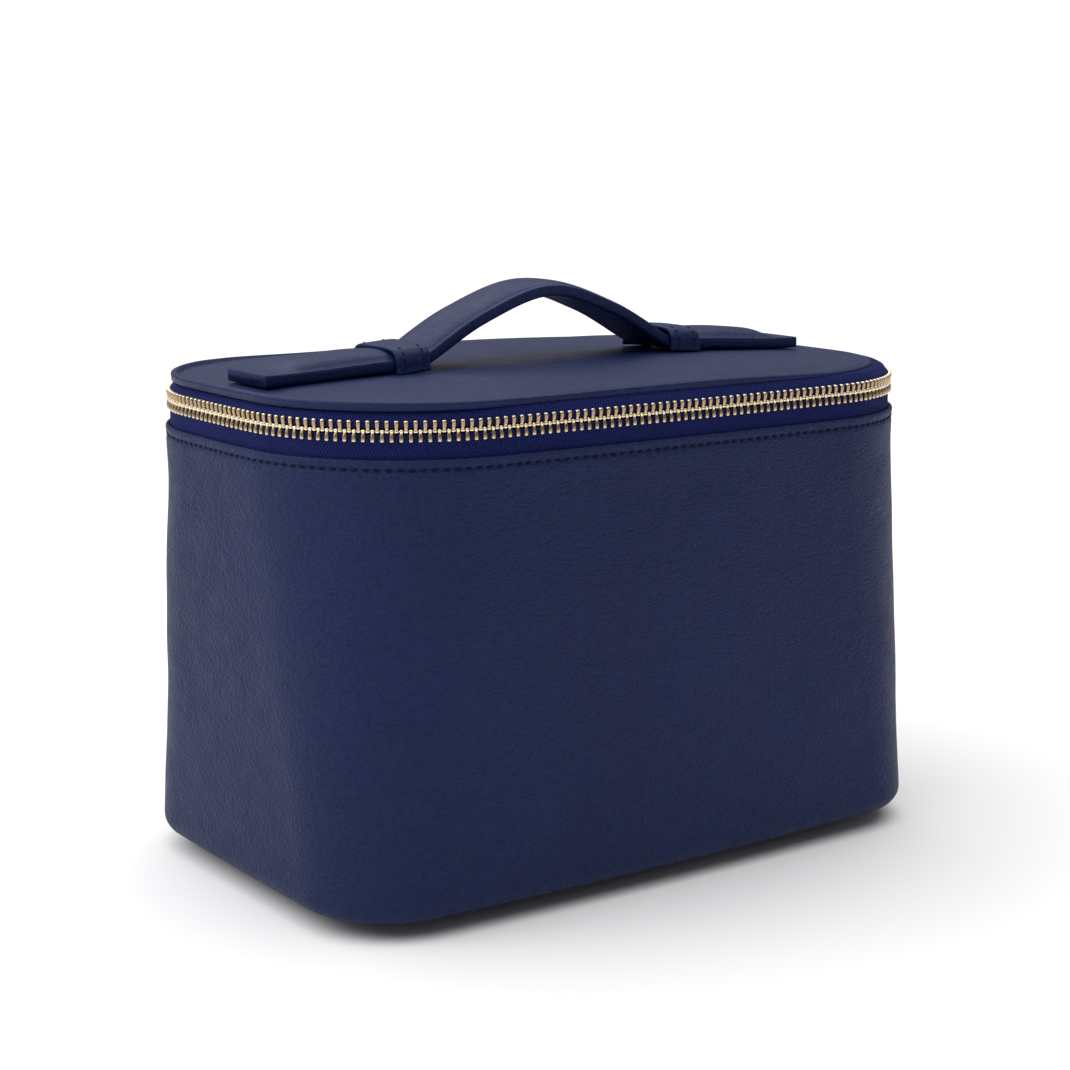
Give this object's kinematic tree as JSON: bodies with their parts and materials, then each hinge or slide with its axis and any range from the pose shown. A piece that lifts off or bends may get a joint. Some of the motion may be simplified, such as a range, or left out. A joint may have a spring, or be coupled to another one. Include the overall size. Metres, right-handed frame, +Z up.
{
  "type": "jewellery case",
  "caption": "Zip-round leather jewellery case with rounded corners, a hinged padded lid, an arched strap handle in keepers and a lined lift-out tray.",
  "frame": {"origin": "centre of the case on the surface it stands on", "axes": "+Z up, +X along the case to the right seen from the front, -Y to the front, the lid's hinge at +Y"},
  "size_m": [0.2405, 0.1512, 0.184],
  "materials": {
    "leather": "pebbled, soft sheen",
    "lining": "suede",
    "board": "matte",
    "foam": "matte",
    "zip_tape": "woven",
    "ribbon": "satin",
    "gold_metal": "polished pale gold"
  },
  "bodies": {
    "case": {"body_leather": "leather", "base_leather": "leather", "base_board": "board", "wall_board": "board", "body_lining": "lining", "tray_ledge": "lining", "bag_feet": "gold_metal", "foot_washers": "gold_metal", "lower_zip_tape": "zip_tape", "lower_zip_teeth": "gold_metal", "lower_end_stops": "gold_metal", "hinge_lower": "leather"},
    "lid": {"lid_leather": "leather", "lid_foam": "foam", "lid_board": "board", "lid_lining": "lining", "upper_zip_tape": "zip_tape", "upper_zip_teeth": "gold_metal", "upper_end_stops": "gold_metal", "hinge_upper": "leather", "keeper_left": "leather", "keeper_right": "leather", "handle_arch": "leather"},
    "strap_left": {"strap_end_left": "leather"},
    "strap_right": {"strap_end_right": "leather"},
    "tray": {"tray_shell": "board", "tray_lining": "lining", "tray_dividers": "lining", "ring_rolls": "lining", "tray_tabs": "ribbon"},
    "slider_front": {"zip_slider_front": "gold_metal"},
    "slider_rear": {"zip_slider_rear": "gold_metal"},
    "pull_front": {"puller_front": "gold_metal"},
    "pull_rear": {"puller_rear": "gold_metal"}
  },
  "joints": [
    {"name": "lid_hinge", "type": "hinge", "parent": "case", "child": "lid", "pos_m": [0, 0.0741, 0.149], "axis": [-1, 0, 0], "range_deg": [0, 105]},
    {"name": "strap_left_slide", "type": "slide", "parent": "lid", "child": "strap_left", "axis": [-1, 0, 0], "range_m": [0, 0.005], "deforming": ["handle_arch"]},
    {"name": "strap_right_slide", "type": "slide", "parent": "lid", "child": "strap_right", "axis": [1, 0, 0], "range_m": [0, 0.005]},
    {"name": "tray_lift", "type": "slide", "parent": "case", "child": "tray", "axis": [0, 0, 1], "range_m": [0, 0.01]},
    {"name": "slider_front_slide", "type": "slide", "parent": "case", "child": "slider_front", "axis": [0, -1, 0], "range_m": [0, 0.012]},
    {"name": "slider_rear_slide", "type": "slide", "parent": "case", "child": "slider_rear", "axis": [0, 1, 0], "range_m": [0, 0.012]},
    {"name": "puller_front_swing", "type": "hinge", "parent": "slider_front", "child": "pull_front", "pos_m": [0.1207, -0.0052, 0.149], "axis": [0, -1, 0], "range_deg": [0, 150]},
    {"name": "puller_rear_swing", "type": "hinge", "parent": "slider_rear", "child": "pull_rear", "pos_m": [0.1207, 0.0052, 0.149], "axis": [0, -1, 0], "range_deg": [0, 150]}
  ],
  "couplings": [
    {"joint": "strap_right_slide", "follows": "strap_left_slide", "ratio": 1}
  ]
}
